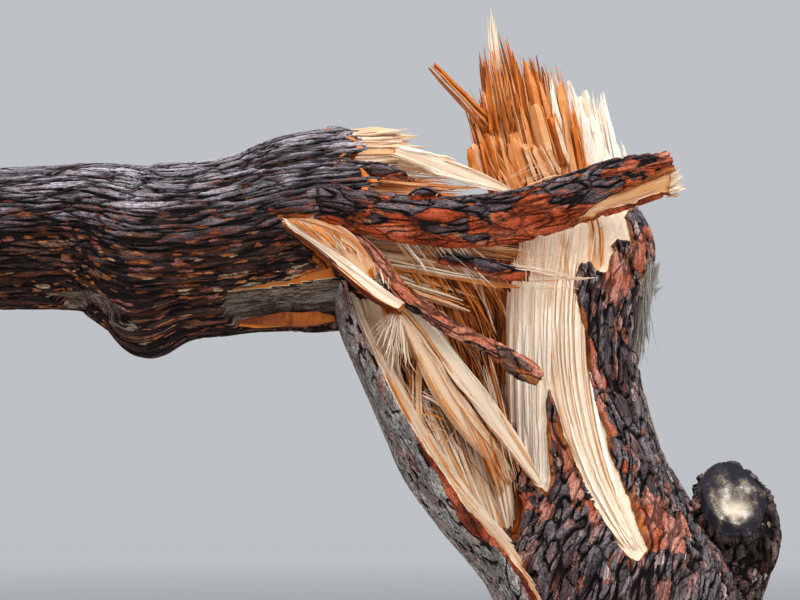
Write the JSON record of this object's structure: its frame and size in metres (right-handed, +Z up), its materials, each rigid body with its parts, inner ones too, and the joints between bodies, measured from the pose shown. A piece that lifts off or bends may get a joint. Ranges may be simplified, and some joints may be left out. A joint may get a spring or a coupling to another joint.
{
  "type": "storm-broken dead tree",
  "caption": "Dead tree snapped by a storm: a rooted trunk with a torn, splintered stem, and the fallen upper trunk hinged on it with its bare crown on the ground.",
  "frame": {"origin": "middle of the flat cut under the trunk, at ground level", "axes": "+Z up, -X along the fallen upper trunk towards its crown, -Y towards the side that the picture shows"},
  "size_m": [5.8365, 4.2135, 4.1592],
  "materials": {
    "bark": "thick furrowed plates, near black with grey crests and pink, rust and tan flakes, matte",
    "grey_bark": "weathered silver-grey bark with fine fissures, matte",
    "red_bark": "torn bark, black plates over red-brown inner bark, matte",
    "sapwood": "freshly torn pale wood with long straight fibres, matte",
    "heartwood": "freshly torn orange heartwood with long straight fibres, matte",
    "sawn_wood": "old weathered saw cut, slate grey with pale lichen, matte",
    "twigs": "bare grey-brown twigs, matte"
  },
  "bodies": {
    "root": {"trunk": "bark", "fallen_bole": "bark", "sawn_stub": "sawn_wood", "hinge_shell": "grey_bark", "bark_tongue": "red_bark", "bark_strip": "red_bark", "torn_blade": "sapwood", "long_plank_1": "sapwood", "long_plank_2": "heartwood", "heartwood_fan_left": "heartwood", "heartwood_fan_middle": "heartwood", "heartwood_fan_right": "heartwood", "sapwood_fan": "sapwood", "bole_end_upper": "sapwood", "bole_end_lower": "heartwood", "cross_boards_upper": "sapwood", "cross_boards_lower": "heartwood", "gap_splinters": "sapwood", "underside_slab": "heartwood", "bough_1": "bark", "bough_2": "bark", "bough_3": "bark", "bough_4": "bark", "bough_5": "bark", "bough_6": "bark", "bough_7": "bark", "bough_8": "bark", "bough_9": "bark", "bough_10": "bark", "bough_11": "bark", "bough_12": "bark", "twigs_1": "twigs", "twigs_2": "twigs", "twigs_3": "twigs", "twigs_4": "twigs", "twigs_5": "twigs", "twigs_6": "twigs", "twigs_7": "twigs", "twigs_8": "twigs", "twigs_9": "twigs", "twigs_10": "twigs", "twigs_11": "twigs", "twigs_12": "twigs", "twigs_leader": "twigs"}
  },
  "joints": []
}
